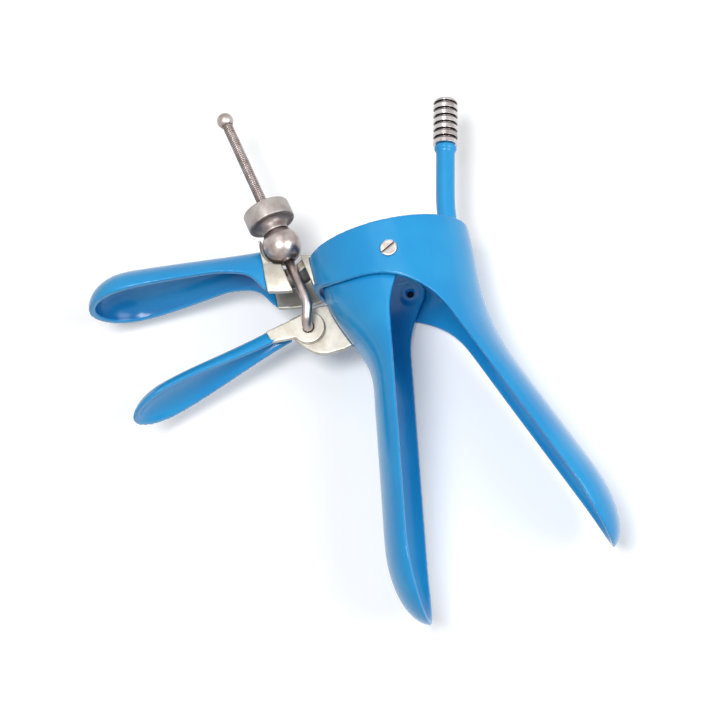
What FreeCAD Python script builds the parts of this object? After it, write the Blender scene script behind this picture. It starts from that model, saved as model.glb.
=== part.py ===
import FreeCAD, Part
import math
import os

from FreeCAD import Vector

os.makedirs("parts", exist_ok=True)

# A two-blade speculum of coated steel sheet, lying on its side. Sizes are in
# millimetres. The origin is the point of the pivot axis midway between the two
# pivot screws, in the middle of the viewing mouth. +Z is the pivot axis, +X is
# the way the blades point, +Y is the back of the outer valve, and the handles
# reach out to -Y. The blades are held open as in use.

# coated sheet
sheet = 1.6
reach = 60.0  # half height of a cutting prism, past every piece
ovalPoints = 24
domeAngles = (14, 28, 42, 55, 66, 75, 82, 87)

# viewing mouth: an oval band, part of the outer valve
mouthX = -8.5
mouthCentreY = -1.8
mouthHalfWidth = 22.2
mouthHalfHeight = 19.5
bandAtHandle = 7.3
bandAtPivot = 15.2

# outer valve's blade, in a frame turned by its tilt about the pivot axis
outerTilt = 22.4
outerRim = 3.6
outerCrown = 10.4
outerHalfDepth = 8.6
outerHalfHeight = mouthHalfHeight - 1.1
outerThroatEnd = 43.5
outerRimStart = 25.0
outerTipStart = 74.8
outerTipLength = 20.0
outerTipRim = 1.6

# inner valve's blade, in a frame turned by its own tilt
innerTilt = -7.5
innerRim = 1.25
innerCrown = 9.2
innerHalfDepth = 10.2
innerHalfHeight = mouthHalfHeight - 1.2
innerThroatEnd = 33.0
innerRimStart = 17.0
innerTipStart = 75.3
innerTipLength = 21.0
innerTipRim = 1.2
rootCrownY = -21.4
rootHalfDepth = 19.6
rootHalfHeight = mouthHalfHeight - sheet - 0.9
rootMouthX = -4.0
earRadius = 4.1
earExit = 50.0

# pivot screws and their threaded bosses
screwRadius = 1.0
screwHeadRadius = 2.25
screwHeadHeight = 0.75
screwHeadSeat = mouthHalfHeight - 0.5
screwHeadRound = 0.3
slotWidth = 0.7
slotDepth = 0.45
slotAngle = 118.0
shankRecess = 0.9
bossRadius = 2.5
bossInner = rootHalfHeight - sheet - 0.4
spotFaceRadius = 3.2
spotFaceLevel = mouthHalfHeight - sheet + 0.15
runGap = 0.05

# screw mechanism: centre of the swivel ball, hinge hole of the spindle
ballX = -14.5
ballY = -29.4
spindleZ = 5.0
spindleAngle = 12.0
ballRadius = 5.3
seatGap = 0.55
holeX = 8.5
holeY = -27.3
rodRadius = 1.4
rodBoreGap = 0.1
brazeGap = 0.05
reliefGap = 0.15
closeAngle = 29.8
swingShare = 0.73
hookRadius = 2.8
hookDrop = 1.2
kneeRadius = 7.0
kneeDistance = 18.1
stopDistance = 41.9
stopRadius = 2.3
rivetRadius = 2.3
rivetHeight = 0.9
washerRadius = 3.0
washerThickness = 0.7
washerGap = 0.1

# thumb nut on the swivel ball
nutRadius = 6.5
nutHeight = 5.0
nutCentre = 9.6
neckRadius = 3.6
nutChamfer = 0.5

# upper flange: a bare saddle between the ring and the upper handle
flangeEndY = ballY - ballRadius - seatGap - 0.15
flangeWall = 1.8
saddleThickness = 2.4
saddleLipAngle = 243.0
saddleRingAngle = 44.0
flangeHalfHeight = 7.5
saddleHalfHeight = 6.5
flangeHalfDepth = 12.0
flangeCrownX = -16.2
flangeRimX = -1.7
flangeRimRingX = 1.0
slotHandleSide = 2.2
slotRingSide = 3.4

# upper handle, a trough that opens to +X
upperTilt = -94.9
upperRimX = -10.8
upperPaddleHalf = 12.6
upperHalfDepth = 9.0
upperTipLength = 13.0
upperTipY = -72.0

# lower handle, a slimmer trough with its root beside the lug
lowerTilt = -73.0
lowerRootX = 4.4
lowerRootY = -34.4
lowerLength = 48.0
lowerHalfDepth = 5.6
lowerRimDepth = 4.6
lowerRootHalf = 3.5
lowerPaddleHalf = 10.4
lowerTipLength = 12.0
lowerRootZ = -2.7

# lug plate and handle eye
lugBack = -3.0
lugThickness = 2.2
lugLeft = 5.2
lugRight = 7.9
lugLow = 5.3
lugHigh = 13.3
eyeThickness = 1.6
eyeRadius = 4.4
eyeNeckBite = 5.0
eyeNeckLeft = 0.9
eyeNeckRight = 4.4
eyeNeckAngles = (-64.0, -147.0)

# smoke tube and hose nipple
tubeRadius = 2.6
tubeBore = 1.7
tubeThroatY = 15.2
tubeEndX = 12.5
neckBend = 60.0
nippleTilt = 12.0
nippleBaseX = -33.5
nippleBaseY = 19.4
nippleRadius = 3.4
nippleRoot = 2.75
nippleLength = 13.7
nippleCrests = 6
collarRadius = 3.1
collarLength = 1.6
collarRound = 0.35
clipWidth = 5.0
clipThickness = 0.8
mouthClipX = -2.0
bladeClipX = 8.5


def framed(tilt, along, across, z=0.0):
    """A point given along and across a direction that is turned by tilt."""
    a = math.radians(tilt)
    x = along * math.cos(a) - across * math.sin(a)
    y = along * math.sin(a) + across * math.cos(a)
    return Vector(x, y, z)


def smooth(t):
    return t * t * (3 - 2 * t)


def mix(a, b, t):
    return a + (b - a) * t


def oval(station, side, inset, along=0.0, shrink=1.0):
    """A closed oval across a blade or handle, or in its domed end."""
    crown, tilt, halfDepth, halfHeight, z = station
    across = framed(tilt, 0, side)
    centre = crown - across * halfDepth + framed(tilt, along, 0)
    points = []
    for i in range(ovalPoints):
        a = math.pi + 2 * math.pi * i / ovalPoints
        depth = (halfDepth - inset) * shrink * math.cos(a)
        height = (halfHeight - inset) * shrink * math.sin(a)
        points.append(centre + across * depth + Vector(0, 0, z + height))
    curve = Part.BSplineCurve()
    curve.interpolate(points, PeriodicFlag=True)
    return Part.Wire(curve.toShape())


def duct(stations, side, tipLength, inset):
    """A closed tapering duct whose end is domed like an ellipsoid."""
    wires = [oval(station, side, inset) for station in stations]
    if inset > 0:
        wires.insert(0, oval(stations[0], side, inset, -1.0))
    for angle in domeAngles:
        a = math.radians(angle)
        along = (tipLength - inset) * math.sin(a)
        wires.append(oval(stations[-1], side, inset, along, math.cos(a)))
    return Part.makeLoft(wires, True, False)


def prism(edges, low=-reach, high=reach):
    """A straight prism along Z over a closed outline."""
    wire = Part.Wire(Part.__sortEdges__(edges))
    face = Part.Face(wire)
    face.translate(Vector(0, 0, low))
    return face.extrude(Vector(0, 0, high - low))


def lines(points):
    return [Part.makeLine(a, b) for a, b in zip(points, points[1:])]


def bezier(points):
    curve = Part.BezierCurve()
    curve.setPoles(points)
    return curve.toShape()


def spline(points, first, last):
    """A smooth curve through points that leaves and arrives in given directions."""
    curve = Part.BSplineCurve()
    curve.interpolate(Points=points, InitialTangent=first, FinalTangent=last)
    return curve.toShape()


def cylinder(radius, start, end):
    axis = end - start
    return Part.makeCylinder(radius, axis.Length, start, axis)


def throat(start, startTilt, end, endTilt, pull):
    """Points of a crown line that leaves one direction for another."""
    a = start + framed(startTilt, pull, 0)
    b = end - framed(endTilt, pull, 0)
    curve = Part.BezierCurve()
    curve.setPoles([start, a, b, end])
    return curve


def outerStations():
    crownY = mouthCentreY + mouthHalfWidth
    mouth = Vector(mouthX, crownY, 0)
    start = Vector(0, crownY - 0.2, 0)
    stations = []
    for t in (0, 0.5):
        stations.append((mix(mouth, start, t), 0, mouthHalfWidth, mouthHalfHeight, 0))
    end = framed(outerTilt, outerThroatEnd, outerCrown)
    path = throat(start, -4, end, outerTilt, 14)
    for i in range(7):
        t = i / 6
        s = smooth(t)
        halfDepth = mix(mouthHalfWidth - 0.2, outerHalfDepth, s)
        halfHeight = mix(mouthHalfHeight, outerHalfHeight, s)
        stations.append((path.value(t), outerTilt * s, halfDepth, halfHeight, 0))
    last = framed(outerTilt, outerTipStart, outerCrown)
    for i in range(1, 7):
        stations.append((mix(end, last, i / 6), outerTilt, outerHalfDepth, outerHalfHeight, 0))
    return stations


def innerStations():
    first = Vector(2 * rootMouthX, rootCrownY, 0)
    start = Vector(0, rootCrownY, 0)
    stations = []
    for t in (0, 0.5):
        stations.append((mix(first, start, t), 0, rootHalfDepth, rootHalfHeight, 0))
    end = framed(innerTilt, innerThroatEnd, -innerCrown)
    path = throat(start, 0, end, innerTilt, 11.5)
    for i in range(7):
        t = i / 6
        s = smooth(t)
        halfDepth = mix(rootHalfDepth, innerHalfDepth, s)
        halfHeight = mix(rootHalfHeight, innerHalfHeight, s)
        stations.append((path.value(t), innerTilt * s, halfDepth, halfHeight, 0))
    last = framed(innerTilt, innerTipStart, -innerCrown)
    for i in range(1, 9):
        stations.append((mix(end, last, i / 8), innerTilt, innerHalfDepth, innerHalfHeight, 0))
    return stations


def outerRimEdges():
    """The edge of the outer valve, from the handle side round to the tip."""
    left = mouthX + bandAtHandle
    pivot = mouthX + bandAtPivot
    bandY = mouthCentreY - mouthHalfWidth
    curve = spline([
        Vector(left - 0.3, bandY - 1.5, 0),
        Vector(left + 1.6, bandY + 1.9, 0),
        Vector(mix(left, pivot, 0.45), bandY + 5.0, 0),
        Vector(mix(left, pivot, 0.75), bandY + 13.4, 0),
        Vector(pivot, mouthCentreY + 0.3, 0),
        Vector(pivot + 4.6, mouthCentreY + 7.8, 0),
        framed(outerTilt, outerRimStart, outerRim),
    ], Vector(0.4, 1, 0), framed(outerTilt, 1, 0))
    bladeStart = framed(outerTilt, outerRimStart, outerRim)
    tipStart = framed(outerTilt, outerTipStart, outerRim)
    tipHandle = framed(outerTilt, outerTipStart + outerTipLength / 2, outerRim)
    tipEnd = framed(outerTilt, outerTipStart + outerTipLength + 3, outerTipRim)
    return [curve] + lines([bladeStart, tipStart]) + [bezier([tipStart, tipHandle, tipEnd])]


def outerCut():
    """All that lies on the open side of the outer valve's edge."""
    edges = outerRimEdges()
    first = Vector(mouthX + bandAtHandle - 0.3, mouthCentreY - mouthHalfWidth - 1.5, 0)
    last = framed(outerTilt, outerTipStart + outerTipLength + 3, outerTipRim)
    corner = Vector(first.x, -reach, 0)
    far = Vector(2 * reach, -reach, 0)
    return prism(edges + lines([last, Vector(far.x, last.y, 0), far, corner, first]))


def outerValve():
    stations = outerStations()
    shell = duct(stations, 1, outerTipLength, 0)
    shell = shell.cut(duct(stations, 1, outerTipLength, sheet))
    shell = shell.cut(outerCut())
    for sign in (1, -1):
        seat = Vector(0, 0, sign * screwHeadSeat)
        out = Vector(0, 0, sign * (mouthHalfHeight + 2))
        spotFace = Vector(0, 0, sign * spotFaceLevel)
        shell = shell.cut(cylinder(screwRadius + runGap, Vector(), out))
        shell = shell.cut(cylinder(screwHeadRadius + 2 * runGap, seat, out))
        shell = shell.cut(cylinder(spotFaceRadius, Vector(), spotFace))
    return shell.cut(spindleRelief())


def spindleRelief():
    """The room that the spindle needs past the ring's edge once the blades are shut."""
    rod = cylinder(rodRadius + reliefGap, spindlePoint(-kneeDistance), spindlePoint(kneeDistance))
    rod.rotate(Vector(holeX, holeY, 0), Vector(0, 0, 1), -swingShare * closeAngle)
    rod.rotate(Vector(), Vector(0, 0, 1), closeAngle)
    return rod


def innerKeep():
    """The outline that the inner valve fills, seen along the pivot axis."""
    earLow = -math.sqrt(earRadius**2 - rootMouthX**2)
    earEnd = framed(earExit, earRadius, 0)
    earPull = earEnd + framed(earExit - 90, earRadius, 0)
    ear = Part.Arc(Vector(rootMouthX, earLow, 0), framed(110, earRadius, 0), earEnd)
    rimStart = framed(innerTilt, innerRimStart, -innerRim)
    rimPull = framed(innerTilt, innerRimStart - 6, -innerRim)
    tipStart = framed(innerTilt, innerTipStart, -innerRim)
    tipPull = framed(innerTilt, innerTipStart + innerTipLength / 2, -innerRim)
    tipEnd = framed(innerTilt, innerTipStart + innerTipLength + 3, innerTipRim)
    bottom = Vector(tipEnd.x, -reach, 0)
    corner = Vector(rootMouthX, -reach, 0)
    mouth = Vector(rootMouthX, earLow, 0)
    edges = [ear.toShape(), bezier([earEnd, earPull, rimPull, rimStart])]
    edges += lines([rimStart, tipStart]) + [bezier([tipStart, tipPull, tipEnd])]
    return prism(edges + lines([tipEnd, bottom, corner, mouth]))


def innerValve():
    stations = innerStations()
    shell = duct(stations, -1, innerTipLength, 0)
    shell = shell.cut(duct(stations, -1, innerTipLength, sheet))
    shell = shell.common(innerKeep())
    top = Vector(0, 0, reach)
    return shell.cut(cylinder(bossRadius, -top, top))


def pivotBoss(sign):
    """A threaded bush brazed through the ear; its end runs on the ring's spot face."""
    low = Vector(0, 0, sign * bossInner)
    high = Vector(0, 0, sign * (spotFaceLevel - runGap))
    return cylinder(bossRadius, low, high).cut(cylinder(screwRadius, Vector(), high * 2))


def rimAt(solid, level):
    """The flat edges of a turned piece at one height along Z."""
    near = 0.01
    flat = [e for e in solid.Edges if e.BoundBox.ZLength < near]
    return [e for e in flat if abs(e.BoundBox.ZMin - level) < near]


def pivotScrew(sign):
    up = Vector(0, 0, sign)
    under = screwHeadSeat + runGap
    top = under + screwHeadHeight
    shank = cylinder(screwRadius, up * (bossInner + shankRecess), up * (under + screwHeadRound))
    head = cylinder(screwHeadRadius, up * under, up * top)
    head = head.makeFillet(screwHeadRound, rimAt(head, sign * top))
    slot = Part.makeBox(2 * screwHeadRadius + 1, slotWidth, 2 * slotDepth)
    slot.translate(Vector(-screwHeadRadius - 0.5, -slotWidth / 2, -slotDepth))
    slot.rotate(Vector(), Vector(0, 0, 1), slotAngle)
    slot.translate(up * top)
    return head.fuse(shank).cut(slot).removeSplitter()


def ballCentre():
    return Vector(ballX, ballY, spindleZ)


def spindlePoint(distance):
    """A point of the spindle's straight axis; 0 is the ball, + is to the hook."""
    return ballCentre() + framed(spindleAngle, distance, 0)


def sweep(points, bends, radius):
    """A round rod along straight runs with rounded corners."""
    edges = []
    start = points[0]
    for before, corner, after, bend in zip(points, points[1:], points[2:], bends):
        a = (before - corner).normalize()
        b = (after - corner).normalize()
        half = a.getAngle(b) / 2
        run = bend / math.tan(half)
        centre = corner + (a + b).normalize() * (bend / math.sin(half))
        middle = centre + (corner - centre).normalize() * bend
        first = corner + a * run
        last = corner + b * run
        edges.append(Part.makeLine(start, first))
        edges.append(Part.Arc(first, middle, last).toShape())
        start = last
    edges.append(Part.makeLine(start, points[-1]))
    path = Part.Wire(edges)
    section = Part.Wire(Part.Circle(points[0], points[1] - points[0], radius).toShape())
    return path.makePipeShell([section], True, False)


def spindle():
    top = spindlePoint(-stopDistance)
    corner = Vector(holeX, holeY, spindleZ - hookDrop)
    knee = spindlePoint(kneeDistance)
    end = Vector(holeX, holeY, lugBack - washerThickness - 2 * washerGap)
    rod = sweep([top, knee, corner, end], [kneeRadius, hookRadius], rodRadius)
    head = cylinder(rivetRadius, end, end - Vector(0, 0, rivetHeight))
    head = head.makeFillet(rivetHeight / 2, rimAt(head, end.z - rivetHeight))
    return rod.fuse(head).removeSplitter()


def turned(edges, distance):
    """Revolves a half profile, drawn along +Y, about the spindle's axis."""
    solid = Part.Face(Part.Wire(edges)).revolve(Vector(), Vector(0, 1, 0), 360)
    solid.rotate(Vector(), Vector(0, 0, 1), spindleAngle + 90)
    solid.translate(spindlePoint(distance))
    return solid


def stopBall():
    """A ball with a blind bore, brazed on the end of the threaded rod."""
    bore = rodRadius + brazeGap
    mouth = -math.sqrt(stopRadius**2 - bore**2)
    pole = Vector(0, stopRadius, 0)
    around = Part.Arc(Vector(bore, mouth, 0), Vector(stopRadius, 0, 0), pole).toShape()
    bottom = Vector(0, brazeGap, 0)
    inside = [pole, bottom, Vector(bore, bottom.y, 0), Vector(bore, mouth, 0)]
    return turned([around] + lines(inside), -stopDistance)


def swivelBall():
    """A ball bored right through for the rod, seated in the flange."""
    bore = rodRadius + rodBoreGap
    mouth = math.sqrt(ballRadius**2 - bore**2)
    low = Vector(bore, -mouth, 0)
    high = Vector(bore, mouth, 0)
    around = Part.Arc(low, Vector(ballRadius, 0, 0), high).toShape()
    return turned([around, Part.makeLine(high, low)], 0)


def thumbNut():
    """A disc on a flared neck, hollowed below to sit on the swivel ball."""
    low = nutCentre - nutHeight / 2
    high = nutCentre + nutHeight / 2
    foot = math.sqrt(ballRadius**2 - neckRadius**2)
    bore = rodRadius + rodBoreGap
    points = [
        Vector(bore, foot, 0),
        Vector(neckRadius, foot, 0),
        Vector(neckRadius, foot + 0.7, 0),
        Vector(nutRadius - 1.2, low, 0),
        Vector(nutRadius - nutChamfer, low, 0),
        Vector(nutRadius, low + nutChamfer, 0),
        Vector(nutRadius, high - nutChamfer, 0),
        Vector(nutRadius - nutChamfer, high, 0),
        Vector(bore, high, 0),
    ]
    flare = bezier([points[2], Vector(neckRadius, low, 0), points[3]])
    nut = turned(lines(points[:3]) + [flare] + lines(points[3:] + points[:1]), 0)
    return nut.cut(Part.makeSphere(ballRadius + rodBoreGap, ballCentre()))


def flangeOutline():
    """The flange seen along Z: saddle above, rims below, ring on the right."""
    inner = ballRadius + seatGap
    centre = Vector(ballX, ballY, 0)
    lip = centre + framed(saddleLipAngle, inner, 0)
    low = centre + framed(spindleAngle, inner, 0)
    right = centre + framed(saddleRingAngle, inner, 0)
    saddle = Part.Arc(lip, low, right).toShape()
    inside = mouthCentreY - mouthHalfWidth + 4
    rim = bezier([
        Vector(flangeRimX, flangeEndY, 0),
        Vector(flangeRimX + 1.0, flangeEndY + 4, 0),
        Vector(flangeRimRingX, mouthCentreY - mouthHalfWidth - 2, 0),
        Vector(flangeRimRingX - 2, inside, 0),
    ])
    walls = lines([right, Vector(mouthX, inside, 0), Vector(flangeRimRingX - 2, inside, 0)])
    handle = lines([Vector(flangeRimX, flangeEndY, 0), Vector(flangeCrownX - 1, flangeEndY, 0), lip])
    return [saddle, rim] + walls + handle


def flangeOval(inset):
    crown = Vector(flangeCrownX, flangeEndY, 0)
    station = (crown, -90, flangeHalfDepth, flangeHalfHeight, 0)
    face = Part.Face(oval(station, -1, inset))
    return face.extrude(Vector(0, -flangeEndY, 0))


def upperFlange(ringBody):
    outline = prism(flangeOutline())
    centre = Vector(ballX, ballY, 0)
    up = Vector(0, 0, reach)
    band = cylinder(ballRadius + seatGap + saddleThickness, centre - up, centre + up)
    hollow = flangeOval(flangeWall).cut(band)
    body = flangeOval(0).cut(hollow)
    saddleLow = centre - Vector(0, 0, saddleHalfHeight)
    saddleHigh = centre + Vector(0, 0, saddleHalfHeight)
    saddle = cylinder(ballRadius + seatGap + saddleThickness, saddleLow, saddleHigh)
    body = body.fuse(saddle).common(outline)
    body = body.cut(Part.makeSphere(ballRadius + seatGap, ballCentre()))
    side = framed(spindleAngle, 0, 1)
    slotLow = spindleZ - rodRadius - 0.6
    a = centre - side * slotHandleSide
    b = centre + side * slotRingSide
    along = framed(spindleAngle, 30, 0)
    slot = prism(lines([a, b, b + along, a + along, a]), slotLow, reach)
    return body.cut(slot).cut(ringBody)


def upperStations():
    lean = math.tan(math.radians(upperTilt + 90))
    stations = []
    for i in range(11):
        t = i / 10
        turn = smooth(min(2 * t, 1))
        y = mix(flangeEndY, upperTipY, t)
        x = flangeCrownX + (flangeEndY - y) * lean
        tilt = mix(-90, upperTilt, turn)
        halfDepth = mix(flangeHalfDepth, upperHalfDepth, turn)
        halfHeight = mix(flangeHalfHeight, upperPaddleHalf, smooth(t))
        stations.append((Vector(x, y, 0), tilt, halfDepth, halfHeight, 0))
    return stations


def upperHandle():
    stations = upperStations()
    shell = duct(stations, -1, upperTipLength, 0).cut(duct(stations, -1, upperTipLength, flangeWall))
    end = Vector(upperRimX, 2 * upperTipY, 0)
    curve = spline([
        Vector(flangeRimX + 0.3, flangeEndY + 1, 0),
        Vector(mix(flangeRimX, upperRimX, 0.3), flangeEndY - 1.8, 0),
        Vector(mix(flangeRimX, upperRimX, 0.7), flangeEndY - 4.6, 0),
        Vector(upperRimX + 0.9, flangeEndY - 9, 0),
        Vector(upperRimX, flangeEndY - 16, 0),
    ], Vector(-0.5, -1, 0), Vector(0, -1, 0))
    first = Vector(flangeRimX + 0.3, flangeEndY + 1, 0)
    far = Vector(reach, 2 * upperTipY, 0)
    rest = lines([Vector(upperRimX, flangeEndY - 16, 0), end, far, Vector(reach, first.y, 0), first])
    return shell.cut(prism([curve] + rest))


def lowerPoint(along, across, z=0.0):
    return Vector(lowerRootX, lowerRootY, z) + framed(lowerTilt, along, across)


def lowerHandle(eyePlate):
    stations = []
    straight = lowerLength - lowerTipLength
    for i in range(11):
        t = i / 10
        half = mix(lowerRootHalf, lowerPaddleHalf, smooth(t))
        z = mix(lowerRootZ, 0.0, smooth(t))
        stations.append((lowerPoint(straight * t, 0), lowerTilt, lowerHalfDepth, half, z))
    shell = duct(stations, -1, lowerTipLength, 0).cut(duct(stations, -1, lowerTipLength, flangeWall))
    a = lowerPoint(-5, lowerRimDepth)
    b = lowerPoint(lowerLength + 5, lowerRimDepth)
    c = lowerPoint(lowerLength + 5, reach)
    d = lowerPoint(-5, reach)
    return shell.cut(prism(lines([a, b, c, d, a]))).cut(eyePlate)


def hingeHole():
    """The hole for the spindle's hook, through the eye and the lug."""
    low = Vector(holeX, holeY, -reach)
    return cylinder(rodRadius + rodBoreGap, low, Vector(holeX, holeY, reach))


def lugPoint(right, up):
    """A point of the lug's outline, seen from the hinge hole."""
    return Vector(holeX + right, holeY + up, 0)


def innerLug(valveBody):
    first = lugPoint(-0.8 * lugLeft, -0.9 * lugLow)
    shoulder = lugPoint(0.82 * lugRight, lugHigh)
    curve = spline([
        first,
        lugPoint(-0.37 * lugLeft, -lugLow),
        lugPoint(0.14 * lugRight, -0.92 * lugLow),
        lugPoint(0.49 * lugRight, -0.55 * lugLow),
        lugPoint(0.8 * lugRight, -0.1 * lugLow),
        lugPoint(lugRight, 0.21 * lugHigh),
        lugPoint(lugRight, 0.55 * lugHigh),
        shoulder,
    ], Vector(1, -0.6, 0), Vector(-0.3, 1, 0))
    outline = lines([
        shoulder,
        lugPoint(-lugLeft, lugHigh),
        lugPoint(-1.1 * lugLeft, 0.21 * lugHigh),
        first,
    ])
    plate = prism([curve] + outline, lugBack, lugBack + lugThickness)
    return plate.cut(valveBody).cut(hingeHole())


def lowerHandleEye():
    low = lugBack + lugThickness
    disc = Part.makeCylinder(eyeRadius, eyeThickness, Vector(holeX, holeY, low))
    hole = Vector(holeX, holeY, 0)
    right, left = (hole + framed(angle, eyeRadius, 0) for angle in eyeNeckAngles)
    leftEnd = lowerPoint(eyeNeckBite, eyeNeckLeft)
    rightEnd = lowerPoint(eyeNeckBite, eyeNeckRight)
    outline = [leftEnd, rightEnd, right, left, leftEnd]
    neck = prism(lines(outline), low, low + eyeThickness)
    return disc.fuse(neck).removeSplitter().cut(hingeHole())


def eyeWasher():
    centre = Vector(holeX, holeY, lugBack - washerThickness - washerGap)
    washer = Part.makeCylinder(washerRadius, washerThickness, centre)
    return washer.cut(hingeHole())


def tubePoints():
    base = Vector(nippleBaseX, nippleBaseY, 0)
    direction = framed(-nippleTilt, 1, 0)
    drop = (base.y - tubeThroatY) / -direction.y
    return [base, base + direction * drop, Vector(tubeEndX, tubeThroatY, 0)]


def smokeTube():
    points = tubePoints()
    tube = sweep(points, [neckBend], tubeRadius)
    direction = (points[1] - points[0]).normalize()
    collar = cylinder(collarRadius, points[0], points[0] + direction * collarLength)
    rims = [e for e in collar.Edges if e.Curve.TypeId == "Part::GeomCircle"]
    tube = tube.fuse(collar.makeFillet(collarRound, rims)).removeSplitter()
    return tube.cut(sweep(points, [neckBend], tubeBore))


def hoseNipple():
    """A ribbed hose end with a rounded nose."""
    pitch = (nippleLength - 1.7) / nippleCrests
    edges = [Part.makeLine(Vector(tubeBore, 0, 0), Vector(nippleRadius, 0, 0))]
    at = 0.0
    for _ in range(nippleCrests):
        crest = at + 0.62 * pitch
        edges += lines([
            Vector(nippleRadius, at, 0),
            Vector(nippleRadius, crest, 0),
            Vector(nippleRoot, crest + 0.12 * pitch, 0),
            Vector(nippleRoot, at + 0.88 * pitch, 0),
            Vector(nippleRadius, at + pitch, 0),
        ])
        at += pitch
    nose = Vector(nippleRadius, at + 0.3, 0)
    lip = Vector(tubeBore, nippleLength, 0)
    edges += lines([Vector(nippleRadius, at, 0), nose])
    edges.append(bezier([nose, Vector(nippleRadius, nippleLength, 0), lip]))
    edges += lines([lip, Vector(tubeBore, 0, 0)])
    nipple = Part.Face(Part.Wire(edges)).revolve(Vector(), Vector(0, 1, 0), 360)
    nipple.rotate(Vector(), Vector(0, 0, 1), 90 - nippleTilt)
    nipple.translate(Vector(nippleBaseX, nippleBaseY, 0))
    return nipple


def tubeClip(centreX, tube, valve):
    """A saddle over the tube, brazed to the inside of the outer valve."""
    radius = tubeRadius + clipThickness
    first = Vector(centreX - clipWidth / 2, tubeThroatY, 0)
    strap = cylinder(radius, first, first + Vector(clipWidth, 0, 0))
    legs = Part.makeBox(clipWidth, tubeRadius + sheet, 2 * radius)
    legs.translate(first - Vector(0, 0, radius))
    return largest(strap.fuse(legs).removeSplitter().cut(valve).cut(tube))


def largest(shape):
    return max(shape.Solids, key=lambda solid: solid.Volume)


def build():
    pieces = {}
    outer = outerValve()
    inner = innerValve()
    pieces["outer_valve"] = outer
    pieces["inner_valve"] = inner
    for name, sign in (("near", 1), ("far", -1)):
        pieces[name + "_pivot_boss"] = pivotBoss(sign)
        pieces[name + "_pivot_screw"] = pivotScrew(sign)
    ringBody = duct(outerStations(), 1, outerTipLength, 0)
    valveBody = duct(innerStations(), -1, innerTipLength, 0)
    pieces["upper_flange"] = upperFlange(ringBody)
    pieces["upper_handle"] = upperHandle()
    pieces["inner_lug"] = innerLug(valveBody)
    pieces["lower_handle_eye"] = lowerHandleEye()
    pieces["lower_handle"] = lowerHandle(pieces["lower_handle_eye"])
    pieces["eye_washer"] = eyeWasher()
    pieces["spindle"] = spindle()
    pieces["spindle_stop_ball"] = stopBall()
    pieces["swivel_ball"] = swivelBall()
    pieces["thumb_nut"] = thumbNut()
    pieces["smoke_tube"] = smokeTube()
    pieces["hose_nipple"] = hoseNipple()
    pieces["tube_clip_mouth"] = tubeClip(mouthClipX, pieces["smoke_tube"], outer)
    pieces["tube_clip_blade"] = tubeClip(bladeClipX, pieces["smoke_tube"], outer)
    return pieces


for name, shape in build().items():
    print(name, len(shape.Solids), len(shape.Faces), round(shape.Volume, 1), shape.isValid())
    shape.exportStep("parts/" + name + ".step")
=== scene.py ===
import math

import bmesh
import bpy
from mathutils import Matrix, Quaternion, Vector


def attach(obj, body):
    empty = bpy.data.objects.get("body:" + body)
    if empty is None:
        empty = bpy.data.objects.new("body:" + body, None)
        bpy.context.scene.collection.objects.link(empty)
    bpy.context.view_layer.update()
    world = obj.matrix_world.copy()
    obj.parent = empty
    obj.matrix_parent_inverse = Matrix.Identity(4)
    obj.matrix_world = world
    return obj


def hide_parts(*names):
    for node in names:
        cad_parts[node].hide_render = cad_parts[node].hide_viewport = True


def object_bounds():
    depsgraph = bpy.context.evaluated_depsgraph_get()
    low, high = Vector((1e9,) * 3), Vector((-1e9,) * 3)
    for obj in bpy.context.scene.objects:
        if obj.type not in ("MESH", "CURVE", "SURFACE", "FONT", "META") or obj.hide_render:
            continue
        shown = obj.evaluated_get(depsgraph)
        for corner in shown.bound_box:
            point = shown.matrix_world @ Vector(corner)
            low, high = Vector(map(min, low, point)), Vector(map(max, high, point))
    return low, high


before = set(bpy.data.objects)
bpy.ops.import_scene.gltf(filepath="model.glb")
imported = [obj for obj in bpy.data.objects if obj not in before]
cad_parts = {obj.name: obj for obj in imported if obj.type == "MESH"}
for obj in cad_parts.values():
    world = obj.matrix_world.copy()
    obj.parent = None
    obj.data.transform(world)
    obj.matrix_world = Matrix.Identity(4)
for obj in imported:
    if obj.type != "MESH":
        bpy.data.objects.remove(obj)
cadBox = [list(corner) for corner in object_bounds()]
mm = 0.001
print("frame loaded:", len(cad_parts), "nodes")


# camera: the instrument lies on its side and is seen from above, over its mouth

view = {
    "azimuth": 106.44,  # degrees, as frame views count them
    "elevation": 68.03,
    "roll": -29.47,
    "aim": (20.15, -16.11, 0.0),  # mm
    "distance": 644.0,  # mm
    "lens": 121.75,  # mm, as the sensor's width
    "sensor": 36.0,
    "clip": (0.01, 20.0),  # m
}


def makeCamera(settings):
    a = math.radians(settings["azimuth"])
    e = math.radians(settings["elevation"])
    back = Vector((math.sin(a) * math.cos(e), -math.cos(a) * math.cos(e), math.sin(e)))
    data = bpy.data.cameras.new("camera")
    data.sensor_width = settings["sensor"]
    data.lens = settings["lens"]
    data.clip_start, data.clip_end = settings["clip"]
    camera = bpy.data.objects.new("camera", data)
    bpy.context.scene.collection.objects.link(camera)
    turn = Matrix.Rotation(math.radians(settings["roll"]), 4, back)
    look = (-back).to_track_quat("-Z", "Y").to_matrix().to_4x4()
    place = Vector(settings["aim"]) * mm + back * settings["distance"] * mm
    camera.matrix_world = Matrix.Translation(place) @ turn @ look
    bpy.context.scene.camera = camera


makeCamera(view)
bpy.context.scene.view_settings.view_transform = "Standard"
print("camera placed")


# node maths: an expression on sockets adds its Math nodes

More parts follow.
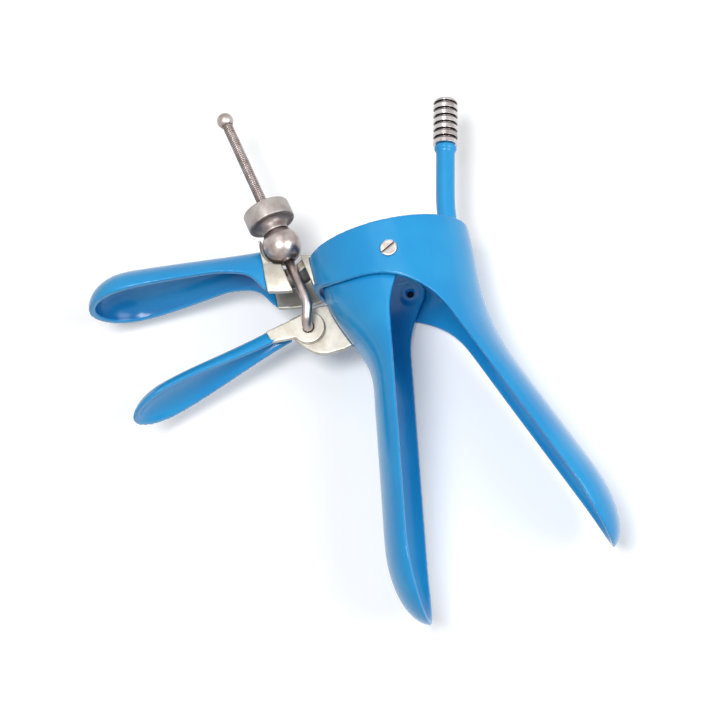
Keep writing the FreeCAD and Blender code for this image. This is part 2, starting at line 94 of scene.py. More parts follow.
class Wire:
    def __init__(self, graph, socket):
        self.graph = graph
        self.socket = socket

    def maths(self, operation, *others):
        return self.graph.maths(operation, self, *others)

    def __add__(self, other):
        return self.maths("ADD", other)

    def __radd__(self, other):
        return self.graph.maths("ADD", other, self)

    def __sub__(self, other):
        return self.maths("SUBTRACT", other)

    def __rsub__(self, other):
        return self.graph.maths("SUBTRACT", other, self)

    def __mul__(self, other):
        return self.maths("MULTIPLY", other)

    def __rmul__(self, other):
        return self.graph.maths("MULTIPLY", other, self)

    def __truediv__(self, other):
        return self.maths("DIVIDE", other)

    def __rtruediv__(self, other):
        return self.graph.maths("DIVIDE", other, self)

    def __pow__(self, other):
        return self.maths("POWER", other)

    def __gt__(self, other):
        return self.maths("GREATER_THAN", other)

    def __lt__(self, other):
        return self.maths("LESS_THAN", other)

    def spread(self, width):  # noise from 0 to 1 becomes half the width either side of 0
        return (self - 0.5) * width

    def between(self, low, high):  # 0 below low, 1 above high, smooth between
        settings = {"interpolation_type": "SMOOTHSTEP"}
        values = {"Value": self, "From Min": low, "From Max": high}
        return self.graph.node("ShaderNodeMapRange", settings, values)


class Graph:
    def __init__(self, tree):
        self.tree = tree

    def node(self, kind, settings=None, values=(), out=0):
        made = self.tree.nodes.new(kind)
        for name, value in (settings or {}).items():
            setattr(made, name, value)
        pairs = values.items() if isinstance(values, dict) else enumerate(values)
        for key, value in pairs:
            socket = made.inputs[key]
            if isinstance(value, Wire):
                self.tree.links.new(value.socket, socket)
            elif value is not None:
                socket.default_value = value
        return Wire(self, made.outputs[out]) if len(made.outputs) else made

    def maths(self, operation, *values):
        return self.node("ShaderNodeMath", {"operation": operation}, values)

    def noise(self, coordinates, scale, detail=2.0, rough=0.5):
        values = {"Vector": coordinates, "Scale": scale, "Detail": detail, "Roughness": rough}
        return self.node("ShaderNodeTexNoise", {"noise_dimensions": "3D"}, values)

    def blend(self, share, first, second):
        values = {0: share, 6: first, 7: second}  # a Mix node has its colours at 6 and 7
        return self.node("ShaderNodeMix", {"data_type": "RGBA"}, values, out=2)

    def bump(self, height, strength, distance):
        values = {"Height": height, "Strength": strength, "Distance": distance}
        return self.node("ShaderNodeBump", {}, values)

    def openness(self, distance):  # 1 on open faces, towards 0 in the piece's own hollows
        settings = {"samples": 12, "only_local": True}
        return self.node("ShaderNodeAmbientOcclusion", settings, {"Distance": distance}, out="AO")


def linear(red, green, blue):
    # a colour written in 0-255 screen values, as the shader's linear numbers
    values = [v / 255 for v in (red, green, blue)]
    return [v / 12.92 if v <= 0.04045 else ((v + 0.055) / 1.055) ** 2.4 for v in values] + [1.0]


def newMaterial(name):
    material = bpy.data.materials.new(name)
    material.use_nodes = True
    material.node_tree.nodes.clear()
    return material, Graph(material.node_tree)


def finishMaterial(graph, shader):
    graph.node("ShaderNodeOutputMaterial", {}, {"Surface": shader})


def objectPlace(graph, scale=(1.0, 1.0, 1.0)):
    place = graph.node("ShaderNodeTexCoord", {}, (), out="Object")
    return graph.node("ShaderNodeMapping", {}, {"Vector": place, "Scale": scale})


coat = {
    "light": (38, 152, 211),
    "deep": (30, 143, 206),
    "cloudRange": (0.35, 0.68),  # noise at which the colour is deep and light
    "hollow": (8, 26, 104),  # painted shade: the colour put in the piece's own hollows, where they would be in shade
    "hollowShadeReach": 18.0,  # mm
    "hollowShadeRange": (0.0, 0.3),  # openness at which the painted shade is full and gone
    "cloudScale": 55.0,  # per metre, as the next two
    "driftScale": 160.0,
    "peelScale": 900.0,
    "peelDepth": 0.006,  # mm
    "peelStrength": 0.35,
    "peelShare": 0.6,  # of the bump, and drift has the rest
    "roughness": 0.24,
    "driftRough": 0.08,  # how much the noise changes the roughness, as the next one
    "peelRough": 0.05,
    "ior": 1.34,
    "specularLevel": 0.4,
    "clearCoat": 0.2,
    "clearCoatRoughness": 0.09,
}

# the coat for the outer valve and upper handle: its painted shade reaches further and starts in
# shallower hollows
deeperShadeCoat = dict(coat, hollowShadeReach=34.0, hollowShadeRange=(0.34, 0.86))


def makeBlueCoat(name, finish):
    material, g = newMaterial(name)
    place = objectPlace(g)
    clouds = g.noise(place, finish["cloudScale"], detail=3.0)
    peel = g.noise(place, finish["peelScale"])
    drift = g.noise(place, finish["driftScale"])
    shade = clouds.between(*finish["cloudRange"])
    colour = g.blend(shade, linear(*finish["deep"]), linear(*finish["light"]))
    # painted shade: the hollow colour goes where the piece's own AO is low
    opened = g.openness(finish["hollowShadeReach"] * mm)
    colour = g.blend(opened.between(*finish["hollowShadeRange"]), linear(*finish["hollow"]), colour)
    uneven = drift.spread(finish["driftRough"]) + peel.spread(finish["peelRough"])
    relief = peel * finish["peelShare"] + drift * (1.0 - finish["peelShare"])
    normal = g.bump(relief, finish["peelStrength"], finish["peelDepth"] * mm)
    shader = g.node("ShaderNodeBsdfPrincipled", {}, {
        "Base Color": colour,
        "Roughness": finish["roughness"] + uneven,
        "Normal": normal,
        "IOR": finish["ior"],
        "Specular IOR Level": finish["specularLevel"],
        "Coat Weight": finish["clearCoat"],
        "Coat Roughness": finish["clearCoatRoughness"],
    })
    finishMaterial(g, shader)
    return material


satin = {
    "pale": (193, 190, 181),
    "warm": (174, 167, 154),
    "cloudRange": (0.35, 0.72),  # noise at which the colour is pale and warm
    "corner": (78, 54, 48),  # painted brown shade in corners and seams
    "cornerShadeReach": 11.0,  # mm
    "cornerShadeRange": (0.4, 0.92),  # openness at which the shade is full and gone
    "roughness": 0.46,
    "grainRough": 0.14,  # how much the noise changes the roughness, as the next one
    "cloudRough": 0.12,
    "metallic": 0.85,
    "grainScale": (900.0, 160.0, 900.0),  # per metre, drawn out along Y
    "cloudScale": 260.0,  # per metre, as the next one
    "speckScale": 2600.0,
    "grainDepth": 0.01,  # mm
    "grainStrength": 0.4,
    "grainShare": 0.5,  # of the bump, and the specks have the rest
}

nutSatin = dict(
    satin,
    pale=(178, 172, 168),
    warm=(150, 137, 132),
    # painted shade: on the nut it is darker and reaches further up the neck
    corner=(70, 42, 40),
    cornerShadeReach=14.0,
    cornerShadeRange=(0.7, 1.0),
)


def makeSatinSteel(name, finish):
    material, g = newMaterial(name)
    place = objectPlace(g)
    grain = g.noise(objectPlace(g, finish["grainScale"]), 1.0, detail=3.0)
    clouds = g.noise(place, finish["cloudScale"], detail=4.0, rough=0.6)
    specks = g.noise(place, finish["speckScale"])
    shade = clouds.between(*finish["cloudRange"])
    colour = g.blend(shade, linear(*finish["pale"]), linear(*finish["warm"]))
    # painted shade: the corner colour goes where the piece's own AO is low
    opened = g.openness(finish["cornerShadeReach"] * mm)
    colour = g.blend(opened.between(*finish["cornerShadeRange"]), linear(*finish["corner"]), colour)
    uneven = grain.spread(finish["grainRough"]) + clouds.spread(finish["cloudRough"])
    relief = grain * finish["grainShare"] + specks * (1.0 - finish["grainShare"])
    normal = g.bump(relief, finish["grainStrength"], finish["grainDepth"] * mm)
    shader = g.node("ShaderNodeBsdfPrincipled", {}, {
        "Base Color": colour,
        "Metallic": finish["metallic"],
        "Roughness": finish["roughness"] + uneven,
        "Normal": normal,
    })
    finishMaterial(g, shader)
    return material


bright = {
    "colour": (190, 180, 177),
    "shade": (156, 141, 136),
    "cloudRange": (0.3, 0.75),  # noise at which the colour is plain and shaded
    # painted shade: dark colour in the piece's own corners and thread roots
    "corner": (46, 30, 28),
    "cornerShadeReach": 2.2,  # mm
    "cornerShadeRange": (0.3, 0.85),  # openness at which the painted corner shade is full and gone
    "roughness": 0.3,
    "cloudRough": 0.06,  # how much the noise changes the roughness, as the next one
    "scratchRough": 0.12,
    "scratchRange": (0.55, 0.72),  # noise at which a scratch starts and is full
    "paintedShadeBand": 0.0,  # mm each side of the middle plane in which the screws are painted dark, a painted shade for their ends down in the bosses' holes
    "paintedShadeDark": (14, 12, 22),
    "scratchScale": (1800.0, 120.0, 420.0),  # per metre, drawn out along Y
    "scratchDepth": 0.004,  # mm
    "scratchStrength": 0.15,
    "cloudScale": 420.0,  # per metre
}

screwBright = dict(bright, colour=(196, 192, 188), shade=(160, 150, 148), paintedShadeBand=17.0)


def makeBrightSteel(name, finish):
    material, g = newMaterial(name)
    place = objectPlace(g)
    scratches = g.noise(objectPlace(g, finish["scratchScale"]), 1.0, detail=3.0)
    clouds = g.noise(place, finish["cloudScale"], detail=3.0)
    shade = clouds.between(*finish["cloudRange"])
    colour = g.blend(shade, linear(*finish["colour"]), linear(*finish["shade"]))
    # painted shade: the corner colour goes where the piece's own AO is low
    opened = g.openness(finish["cornerShadeReach"] * mm)
    colour = g.blend(opened.between(*finish["cornerShadeRange"]), linear(*finish["corner"]), colour)
    # painted shade: the screws' inner part, seen down the bosses' holes, is painted dark
    if finish["paintedShadeBand"]:
        height = g.node("ShaderNodeSeparateXYZ", {}, (place,), out="Z")
        middle = height.maths("ABSOLUTE") < finish["paintedShadeBand"] * mm
        colour = g.blend(middle, colour, linear(*finish["paintedShadeDark"]))
    scratched = scratches.between(*finish["scratchRange"]) * finish["scratchRough"]
    rough = finish["roughness"] + scratched + clouds.spread(finish["cloudRough"])
    normal = g.bump(scratches, finish["scratchStrength"], finish["scratchDepth"] * mm)
    shader = g.node("ShaderNodeBsdfPrincipled", {}, {
        "Base Color": colour,
        "Metallic": 1.0,
        "Roughness": rough,
        "Normal": normal,
    })
    finishMaterial(g, shader)
    return material


chrome = {
    "colour": (206, 200, 198),
    "dull": (150, 140, 138),
    "smearRange": (0.45, 0.8),  # noise at which the colour is plain and dull
    # painted shade: dark colour down in the grooves between the ribs
    "grooveShade": (40, 24, 24),
    "grooveShadeReach": 1.4,  # mm
    "grooveShadeRange": (0.45, 0.9),  # openness at which the painted groove shade is full and gone
    "roughness": 0.16,
    "cloudRough": 0.04,  # how much the noise changes the roughness, as the next one
    "smearRough": 0.1,
    "smearRoughRange": (0.5, 0.8),  # noise at which a smear starts to be rough and is full
    "cloudScale": 700.0,  # per metre, as the next one
    "smearScale": 240.0,
    "cloudDepth": 0.003,  # mm
    "cloudStrength": 0.1,
}


def makeNippleChrome(name, finish):
    material, g = newMaterial(name)
    place = objectPlace(g)
    clouds = g.noise(place, finish["cloudScale"], detail=3.0)
    smears = g.noise(place, finish["smearScale"], detail=4.0)
    shade = smears.between(*finish["smearRange"])
    colour = g.blend(shade, linear(*finish["colour"]), linear(*finish["dull"]))
    # painted shade: the groove colour goes where the piece's own AO is low
    opened = g.openness(finish["grooveShadeReach"] * mm)
    colour = g.blend(opened.between(*finish["grooveShadeRange"]), linear(*finish["grooveShade"]), colour)
    smeared = smears.between(*finish["smearRoughRange"]) * finish["smearRough"]
    rough = finish["roughness"] + smeared + clouds.spread(finish["cloudRough"])
    normal = g.bump(clouds, finish["cloudStrength"], finish["cloudDepth"] * mm)
    shader = g.node("ShaderNodeBsdfPrincipled", {}, {
        "Base Color": colour,
        "Metallic": 1.0,
        "Roughness": rough,
        "Normal": normal,
    })
    finishMaterial(g, shader)
    return material


blueCoat = makeBlueCoat("blueCoat", coat)
outerShadeCoat = makeBlueCoat("outerShadeCoat", deeperShadeCoat)
satinSteel = makeSatinSteel("satinSteel", satin)
nutSteel = makeSatinSteel("nutSteel", nutSatin)
brightSteel = makeBrightSteel("brightSteel", bright)
screwSteel = makeBrightSteel("screwSteel", screwBright)
nippleChrome = makeNippleChrome("nippleChrome", chrome)
print("materials made")


# mesh helpers

merge = {  # mm, closer points become one
    "copied": 0.001,
    "turned": 0.0005,
    "sliver": 0.0002,
    "ribbed": 0.0005,
}


def linkPiece(name, mesh, material):
    piece = bpy.data.objects.new(name, mesh)
    bpy.context.scene.collection.objects.link(piece)
    mesh.materials.clear()
    mesh.materials.append(material)
    for polygon in mesh.polygons:
        polygon.material_index = 0
    return piece


def bakeModifiers(piece):
    # the evaluated mesh takes the place of the mesh and its modifiers
    bpy.context.view_layer.update()
    evaluated = piece.evaluated_get(bpy.context.evaluated_depsgraph_get())
    mesh = bpy.data.meshes.new_from_object(evaluated)
    piece.modifiers.clear()
    piece.data = mesh


def shadeSmooth(piece):
    piece.data.polygons.foreach_set("use_smooth", [True] * len(piece.data.polygons))
    piece.data.update()


def roundedCopy(nodes, name, material, settings):
    # CAD solids in one fine even skin, with every edge eased as coating or tumbling leaves it
    work = bmesh.new()
    for node in nodes:
        work.from_mesh(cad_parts[node].data)
    bmesh.ops.remove_doubles(work, verts=work.verts, dist=merge["copied"] * mm)
    mesh = bpy.data.meshes.new(name)
    work.to_mesh(mesh)
    work.free()
    piece = linkPiece(name, mesh, material)
    skin = piece.modifiers.new("skin", "REMESH")
    skin.mode = "VOXEL"
    skin.voxel_size = settings["voxel"] * mm
    ease = piece.modifiers.new("ease", "SMOOTH")
    ease.factor = settings["easeShare"]
    ease.iterations = settings["easeRounds"]
    bakeModifiers(piece)
    shadeSmooth(piece)
    return piece


def upright(place, direction):
    # a piece drawn along +Z stands at a place and points along a direction, both in mm
    turn = Vector(direction).to_track_quat("Z", "Y").to_matrix().to_4x4()
    return Matrix.Translation(Vector(place) * mm) @ turn


def eased(points, radius, steps=4, most=0.45):
    # an outline of (radius, height) points whose inner corners are rounded off, each by
    # the radius or by most, the share of a side that a corner may take
    path = [Vector(p) for p in points]
    soft = [path[0]]
    for before, corner, after in zip(path, path[1:], path[2:]):
        a = before - corner
        b = after - corner
        cut = min(radius, a.length * most, b.length * most)
        first = corner + a.normalized() * cut
        last = corner + b.normalized() * cut
        for i in range(steps + 1):
            t = i / steps
            soft.append(first.lerp(corner, t).lerp(corner.lerp(last, t), t))
    return soft + [path[-1]]


def lathe(name, outline, matrix, material, sides=96):
    work = bmesh.new()
    rings = []
    for radius, height in outline:
        ring = []
        for i in range(sides):
            a = 2 * math.pi * i / sides
            point = Vector((radius * math.cos(a), radius * math.sin(a), height))
            ring.append(work.verts.new(point * mm))
        rings.append(ring)
    for low, high in zip(rings, rings[1:]):
        for i in range(sides):
            j = (i + 1) % sides
            work.faces.new((low[i], low[j], high[j], high[i]))
    bmesh.ops.remove_doubles(work, verts=work.verts, dist=merge["turned"] * mm)
    bmesh.ops.dissolve_degenerate(work, edges=work.edges, dist=merge["sliver"] * mm)
    bmesh.ops.recalc_face_normals(work, faces=work.faces)
    mesh = bpy.data.meshes.new(name)
    work.to_mesh(mesh)
    work.free()
    mesh.transform(matrix)
    piece = linkPiece(name, mesh, material)
    shadeSmooth(piece)
    return piece


def arcPoints(centre, radius, first, last, steps=24):
    points = []
    for i in range(steps + 1):
        a = math.radians(first + (last - first) * i / steps)
        points.append((centre[0] + radius * math.cos(a), centre[1] + radius * math.sin(a)))
    return points


def joined(name, parts, material):
    # several closed meshes become one piece
    work = bmesh.new()
    for part in parts:
        work.from_mesh(part.data)
        bpy.data.objects.remove(part)
    mesh = bpy.data.meshes.new(name)
    work.to_mesh(mesh)
    work.free()
    piece = linkPiece(name, mesh, material)
    shadeSmooth(piece)
    return piece


# ribbed rod: rings or a thread round a straight rod or tube, as Geometry Nodes

ribInputs = {
    "Length": "NodeSocketFloat",
    "Pitch": "NodeSocketFloat",
    "Crest Radius": "NodeSocketFloat",
    "Root Radius": "NodeSocketFloat",
    "Bore Radius": "NodeSocketFloat",  # 0 for a solid rod
    "Crest Share": "NodeSocketFloat",
    "Ramp Share": "NodeSocketFloat",
    "Fade": "NodeSocketFloat",  # length in which the ribs rise and die at the ends
    "Nose": "NodeSocketFloat",  # length of the rounded end
    "Nose Radius": "NodeSocketFloat",
    "Helix": "NodeSocketFloat",  # 1 for a thread, 0 for rings
    "Around": "NodeSocketInt",
    "Along": "NodeSocketInt",
    "Material": "NodeSocketMaterial",
}

leastBore = 0.001  # mm, a smaller one is none


def makeRibbedTree():
    tree = bpy.data.node_groups.new("ribbedRod", "GeometryNodeTree")
    for name, kind in ribInputs.items():
        tree.interface.new_socket(name, in_out="INPUT", socket_type=kind)
    tree.interface.new_socket("Geometry", in_out="OUTPUT", socket_type="NodeSocketGeometry")
    g = Graph(tree)
    start = tree.nodes.new("NodeGroupInput")
    given = {name: Wire(g, start.outputs[name]) for name in ribInputs}
    along = given["Along"]
    # rows: 0 is the base's inner rim, the outside is from 1, then the tip's inner rim, and last
    # the bore's foot, which meets row 0
    last = along + 3.0
    grid = g.node("GeometryNodeMeshGrid", {}, {
        "Size X": 1.0,
        "Size Y": 1.0,
        "Vertices X": last + 1.0,
        "Vertices Y": given["Around"] + 1.0,
    })
    place = g.node("GeometryNodeInputPosition")  # u goes round and v along, both from 0 to 1
    u = g.node("ShaderNodeSeparateXYZ", {}, (place,), out="Y") + 0.5
    v = g.node("ShaderNodeSeparateXYZ", {}, (place,), out="X") + 0.5
    row = (v * last).maths("ROUND")
    share = ((row - 1.0) / along).maths("MINIMUM", 1.0).maths("MAXIMUM", 0.0)
    height = share * given["Length"]
    ahead = 8.0  # whole turns, so that the phase is never below 0
    phase = (height / given["Pitch"] - u * given["Helix"] + ahead).maths("FRACT")
    ramp = given["Ramp Share"]
    down = ramp + given["Crest Share"]
    rise = phase.between(0.0, ramp) * (1.0 - phase.between(down, down + ramp))
    far = given["Length"] - height
    rise = rise * height.between(0.0, given["Fade"]) * far.between(0.0, given["Fade"])
    radius = given["Root Radius"] + rise * (given["Crest Radius"] - given["Root Radius"])
    ended = (1.0 - far / given["Nose"]).maths("MAXIMUM", 0.0)
    drop = 1.0 - (1.0 - ended * ended) ** 0.5
    radius = radius - drop * (radius - given["Nose Radius"])
    outside = (row > 0.5) * (row < last - 1.5)
    bore = given["Bore Radius"]
    radius = bore + outside * (radius - bore)
    back = (row > last - 0.5) * (bore > leastBore * mm)
    angle = u * (2 * math.pi)
    across = radius * angle.maths("COSINE")
    aside = radius * angle.maths("SINE")
    point = g.node("ShaderNodeCombineXYZ", {}, (across, aside, height * (1.0 - back)))
    moved = g.node("GeometryNodeSetPosition", {}, {"Geometry": grid, "Position": point})
    near = merge["ribbed"] * mm
    merged = g.node("GeometryNodeMergeByDistance", {}, {"Geometry": moved, "Distance": near})
    real = g.node("GeometryNodeRealizeInstances", {}, {"Geometry": merged})
    values = {"Geometry": real, "Material": given["Material"]}
    dressed = g.node("GeometryNodeSetMaterial", {}, values)
    tree.links.new(dressed.socket, tree.nodes.new("NodeGroupOutput").inputs[0])
    return tree


ribbedTree = makeRibbedTree()


def ribbedRod(name, sizes, shares, matrix, material):  # sizes in mm
    mesh = bpy.data.meshes.new(name)
    piece = bpy.data.objects.new(name, mesh)
    bpy.context.scene.collection.objects.link(piece)
    maker = piece.modifiers.new("ribs", "NODES")
    maker.node_group = ribbedTree
    chosen = {key: size * mm for key, size in sizes.items()}
    chosen = dict(chosen, **shares, Material=material)
    for item in ribbedTree.interface.items_tree:
        if item.in_out == "INPUT":
            maker[item.identifier] = chosen[item.name]
    bakeModifiers(piece)
    work = bmesh.new()
    work.from_mesh(piece.data)
    bmesh.ops.recalc_face_normals(work, faces=work.faces)
    work.to_mesh(piece.data)
    work.free()
    piece.data.transform(matrix)
    shadeSmooth(piece)
    return piece


def settle(piece, body, slot, *nodes):
    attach(piece, body)
    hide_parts(*nodes)


# coated sheet: both valves, both handles and the smoke tube with its clips

coated = {
    "voxel": 0.34,  # mm
    "easeShare": 0.5,
    "easeRounds": 8,
    "pieces": {
        "outerValve": ("ring_frame", ("outer_valve",)),
        "innerValve": ("inner_blade", ("inner_valve", "near_pivot_boss", "far_pivot_boss")),
        "upperHandle": ("ring_frame", ("upper_handle",)),
        "lowerHandle": ("inner_blade", ("lower_handle",)),
        "smokeTube": ("ring_frame", ("smoke_tube",)),
        "tubeClipMouth": ("ring_frame", ("tube_clip_mouth",)),
        "tubeClipBlade": ("ring_frame", ("tube_clip_blade",)),
    },
    "deeperShaded": ("outerValve", "upperHandle"),  # these get outerShadeCoat, with its further painted shade
}

for name, (body, nodes) in coated["pieces"].items():
    paint = outerShadeCoat if name in coated["deeperShaded"] else blueCoat
    piece = roundedCopy(nodes, name, paint, coated)
    settle(piece, body, "blue_coat", *nodes)
print("coated pieces made")


# bare sheet: flange, lug and eye

bare = {
    "voxel": 0.18,  # mm
    "easeShare": 0.5,
    "easeRounds": 4,
    "pieces": {
        "upperFlange": ("ring_frame", ("upper_flange",)),
        "innerLug": ("inner_blade", ("inner_lug",)),
        "lowerHandleEye": ("inner_blade", ("lower_handle_eye",)),
    },
}

for name, (body, nodes) in bare["pieces"].items():
    piece = roundedCopy(nodes, name, satinSteel, bare)
    settle(piece, body, "satin_steel", *nodes)
print("bare pieces made")


# spindle: threaded from the stop ball to just past the swivel ball, then smooth to the hook

spindle = {
    "ball": (-14.5, -29.4, 5.0),  # mm, centre of the swivel ball
    "hole": (8.5, -27.3),  # the hook's hole in the lug
    "angle": 12.0,  # degrees from +X
    "rodRadius": 1.4,
    "stopAt": 41.9,  # from the swivel ball's centre
    "stopRadius": 2.3,
    "stopHole": 1.5,  # radius of the blind hole over the rod's end
    "stopHoleFloor": 0.2,  # below the ball's centre
    "kneeAt": 18.1,
    "bends": (7.0, 2.8),
    "cornerZ": 3.8,
    "endZ": -3.9,
    "rivetRadius": 2.3,
    "rivetHeight": 0.9,
    "rivetCorner": 0.4,
    "threadEnd": 3.0,  # past the swivel ball's centre
    "threadLap": 0.8,  # the bar starts this far inside the thread's end
    "thread": {  # mm
        "Pitch": 0.6,
        "Crest Radius": 1.47,
        "Root Radius": 1.2,
        "Bore Radius": 0.0,
        "Fade": 1.2,
        "Nose": 0.3,
        "Nose Radius": 1.1,
    },
    "threadShares": {
        "Crest Share": 0.12,
        "Ramp Share": 0.4,
        "Helix": 1.0,
        "Around": 32,
        "Along": 780,
    },
}

spindleTurn = math.radians(spindle["angle"])
spindleWay = Vector((math.cos(spindleTurn), math.sin(spindleTurn), 0.0))


def spindlePoint(distance):
    return Vector(spindle["ball"]) + spindleWay * distance


def roundedRoute(points, bends, steps=14):
    # straight runs with an arc in each corner
    route = [Vector(points[0])]
    for before, corner, after, bend in zip(points, points[1:], points[2:], bends):
        a = (Vector(before) - Vector(corner)).normalized()
        b = (Vector(after) - Vector(corner)).normalized()
        half = a.angle(b) / 2
        centre = Vector(corner) + (a + b).normalized() * (bend / math.sin(half))
        first = Vector(corner) + a * (bend / math.tan(half)) - centre
        last = Vector(corner) + b * (bend / math.tan(half)) - centre
        for i in range(steps + 1):
            turn = Quaternion(first.cross(last), first.angle(last) * i / steps)
            route.append(centre + turn @ first)
    return route + [Vector(points[-1])]


def roundBar(name, route, radius, material, sides=48):
    # a closed round bar swept along a route, without twist
    work = bmesh.new()
    side = None
    rings = []
    for i, here in enumerate(route):
        way = (route[min(i + 1, len(route) - 1)] - route[max(i - 1, 0)]).normalized()
        side = (side or way.orthogonal()) - way * way.dot(side or way.orthogonal())
        side.normalize()
        up = way.cross(side)
        ring = []
        for k in range(sides):
            a = 2 * math.pi * k / sides
            offset = (side * math.cos(a) + up * math.sin(a)) * radius
            ring.append(work.verts.new((here + offset) * mm))
        rings.append(ring)
    for low, high in zip(rings, rings[1:]):
        for k in range(sides):
            j = (k + 1) % sides
            work.faces.new((low[k], low[j], high[j], high[k]))
    work.faces.new(rings[0][::-1])
    work.faces.new(rings[-1])
    bmesh.ops.recalc_face_normals(work, faces=work.faces)
    mesh = bpy.data.meshes.new(name)
    work.to_mesh(mesh)
    work.free()
    return linkPiece(name, mesh, material)


def makeSpindle():
    holeX, holeY = spindle["hole"]
    threaded = spindle["stopAt"] + spindle["threadEnd"]
    sizes = dict(spindle["thread"], Length=threaded)
    place = upright(spindlePoint(-spindle["stopAt"]), spindleWay)
    thread = ribbedRod("spindleThread", sizes, spindle["threadShares"], place, brightSteel)
    route = roundedRoute([
        spindlePoint(spindle["threadEnd"] - spindle["threadLap"]),
        spindlePoint(spindle["kneeAt"]),
        (holeX, holeY, spindle["cornerZ"]),
        (holeX, holeY, spindle["endZ"]),
    ], spindle["bends"])
    bar = roundBar("spindleBar", route, spindle["rodRadius"], brightSteel)
    low = -spindle["rivetHeight"]
    rim = spindle["rivetRadius"]
    outline = eased([(0, 0), (rim, 0), (rim, low), (0, low)], spindle["rivetCorner"])
    place = upright((holeX, holeY, spindle["endZ"]), (0, 0, 1))
    rivet = lathe("spindleRivet", outline, place, brightSteel)
    return joined("spindle", [thread, bar, rivet], brightSteel)


settle(makeSpindle(), "spindle_arm", "bare_steel", "spindle")


def makeStopBall():
    radius = spindle["stopRadius"]
    hole = spindle["stopHole"]
    floor = -spindle["stopHoleFloor"]
    mouth = -math.sqrt(radius ** 2 - hole ** 2)
    first = math.degrees(math.atan2(mouth, hole))
    outline = [(0, floor), (hole, floor), (hole, mouth)] + arcPoints((0, 0), radius, first, 90)
    place = upright(spindlePoint(-spindle["stopAt"]), -spindleWay)
    return lathe("spindleStopBall", outline, place, brightSteel)


settle(makeStopBall(), "spindle_arm", "bare_steel", "spindle_stop_ball")
print("spindle made")


# swivel ball and thumb nut, both on the spindle's line

swivel = {
    "radius": 5.3,
    "bore": 1.5,
    "nutRadius": 6.5,
    "nutLow": 7.1,  # from the ball's centre, away from the hook
    "nutHigh": 12.1,
    "neckRadius": 3.6,
    "neckRise": 0.7,  # straight part of the neck before its flare
    "flareStop": 1.2,  # inside the nut's rim
    "flareSteps": 8,
    "seatGap": 0.1,
    "chamferWide": 0.5,
    "chamferDeep": 0.4,
    "corner": 0.45,
}


def makeBall():
    start = math.degrees(math.acos(swivel["bore"] / swivel["radius"]))
    outline = arcPoints((0, 0), swivel["radius"], -start, start, steps=40)
    outline.append(outline[0])
    return lathe("swivelBall", outline, upright(spindle["ball"], -spindleWay), brightSteel)


settle(makeBall(), "swivel", "bare_steel", "swivel_ball")


def makeNut():
    neck = swivel["neckRadius"]
    rim = swivel["nutRadius"]
    low = swivel["nutLow"]
    high = swivel["nutHigh"]
    seat = swivel["radius"] + swivel["seatGap"]
    foot = math.sqrt(seat ** 2 - neck ** 2)
    first = math.degrees(math.asin(foot / seat))
    last = math.degrees(math.acos(swivel["bore"] / seat))
    hollow = arcPoints((0, 0), seat, last, first, steps=12)
    start = Vector((neck, foot + swivel["neckRise"]))
    pull = Vector((neck, low))
    end = Vector((rim - swivel["flareStop"], low))
    flare = []
    for i in range(swivel["flareSteps"] + 1):
        t = i / swivel["flareSteps"]
        flare.append(start.lerp(pull, t).lerp(pull.lerp(end, t), t))
    inner = swivel["bore"] + swivel["chamferWide"]
    crown = eased([flare[-1], (rim, low), (rim, high), (inner, high)], swivel["corner"])
    chamfer = (swivel["bore"], high - swivel["chamferDeep"])
    outline = hollow + flare + crown + [chamfer, hollow[0]]
    place = upright(spindle["ball"], -spindleWay)
    return lathe("thumbNut", outline, place, nutSteel, sides=128)


settle(makeNut(), "nut", "satin_steel", "thumb_nut")
print("ball and nut made")


# hose nipple: six ribs and a rounded nose on the end of the smoke tube

nipple = {
    "base": (-33.5, 19.4, 0.0),  # mm
    "tilt": 12.0,  # degrees below -X
    "length": 13.7,
    "ribs": 6,
    "rings": {  # mm
        "Crest Radius": 3.4,
        "Root Radius": 2.7,
        "Bore Radius": 1.7,
        "Fade": 0.0001,
        "Nose": 1.3,
        "Nose Radius": 2.3,
    },
    "ringShares": {
        "Crest Share": 0.5,
        "Ramp Share": 0.12,
        "Helix": 0.0,
        "Around": 96,
        "Along": 240,
    },
}


def makeNipple():
    length = nipple["length"]
    pitch = (length - nipple["rings"]["Nose"]) / nipple["ribs"]
    sizes = dict(nipple["rings"], Length=length, Pitch=pitch)
    turn = math.radians(180.0 - nipple["tilt"])
    place = upright(nipple["base"], (math.cos(turn), math.sin(turn), 0.0))
    return ribbedRod("hoseNipple", sizes, nipple["ringShares"], place, nippleChrome)


settle(makeNipple(), "ring_frame", "nipple_chrome", "hose_nipple")
print("nipple made")


# small turned parts that keep their CAD mesh

turnedNodes = {
    "near_pivot_screw": screwSteel,
    "far_pivot_screw": screwSteel,
    "eye_washer": brightSteel,
}

for node, material in turnedNodes.items():
    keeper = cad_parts[node]
    keeper.data.materials.clear()
    keeper.data.materials.append(material)


# floor and light

studio = {
    "floorSize": 6.0,  # m
    "floorGap": 0.05,  # mm below the lowest point of the object
    "floorColour": 0.85,
    "floorGlow": 0.22,
    "white": 1.0,
    "world": 0.16,  # what the world adds as light
    "aim": (0.02, 0.0, 0.0),  # m, as the lamps' places and sizes
    "lamps": {
        "mainLamp": {"place": (0.16, -0.12, 1.0), "size": 0.34, "power": 7.0},
        "sideLamp": {"place": (0.26, 0.72, 0.7), "size": 0.6, "power": 5.4},
        "softBox": {"place": (-0.42, 0.0, 0.95), "size": 0.6, "power": 0.9},
    },
}


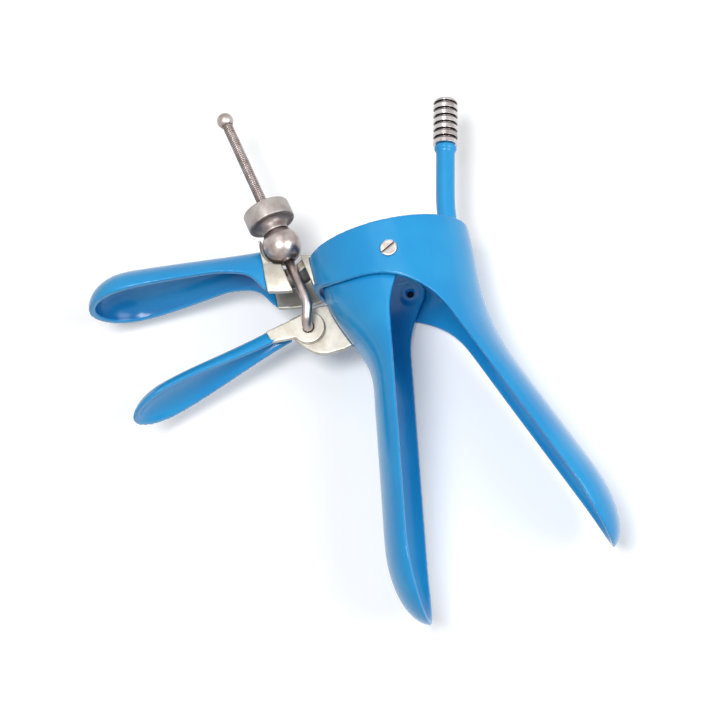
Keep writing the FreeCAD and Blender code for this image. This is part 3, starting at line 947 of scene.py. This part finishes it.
def seenWhite(graph):  # 1 for the rays by which camera, metal and glass show the background
    path = graph.tree.nodes.new("ShaderNodeLightPath")
    shown = Wire(graph, path.outputs["Is Camera Ray"])
    mirrored = Wire(graph, path.outputs["Is Glossy Ray"])
    passed = Wire(graph, path.outputs["Is Transmission Ray"])
    return shown.maths("MAXIMUM", mirrored).maths("MAXIMUM", passed)


def makeFloor():
    low = cadBox[0][2] - studio["floorGap"] * mm
    half = studio["floorSize"] / 2
    corners = [(x, y, low) for x, y in ((-half, -half), (half, -half), (half, half), (-half, half))]
    mesh = bpy.data.meshes.new("floor")
    mesh.from_pydata(corners, [], [(0, 1, 2, 3)])
    material, g = newMaterial("floorWhite")
    level = studio["floorColour"]
    strength = seenWhite(g) * studio["floorGlow"]
    paint = g.node("ShaderNodeBsdfDiffuse", {}, {"Color": [level, level, level, 1.0]})
    glow = g.node("ShaderNodeEmission", {}, {"Color": [1.0, 1.0, 1.0, 1.0], "Strength": strength})
    finishMaterial(g, g.node("ShaderNodeAddShader", {}, (paint, glow)))
    floor = linkPiece("floor", mesh, material)


def makeLamp(name, settings):
    data = bpy.data.lights.new(name, "AREA")
    data.shape = "RECTANGLE"
    data.size = settings["size"]
    data.size_y = settings["size"]
    data.energy = settings["power"]
    lamp = bpy.data.objects.new(name, data)
    bpy.context.scene.collection.objects.link(lamp)
    lamp.location = settings["place"]
    lamp.rotation_mode = "QUATERNION"
    way = Vector(studio["aim"]) - Vector(settings["place"])
    lamp.rotation_quaternion = way.to_track_quat("-Z", "Y")


def makeWorld():
    world = bpy.data.worlds.new("studio")
    world.use_nodes = True
    world.node_tree.nodes.clear()
    g = Graph(world.node_tree)
    strength = seenWhite(g) * (studio["white"] - studio["world"]) + studio["world"]
    back = g.node("ShaderNodeBackground", {}, {"Color": [1.0, 1.0, 1.0, 1.0], "Strength": strength})
    g.node("ShaderNodeOutputWorld", {}, {"Surface": back})
    bpy.context.scene.world = world


makeFloor()
for name, settings in studio["lamps"].items():
    makeLamp(name, settings)
makeWorld()
print("floor and lamps placed")
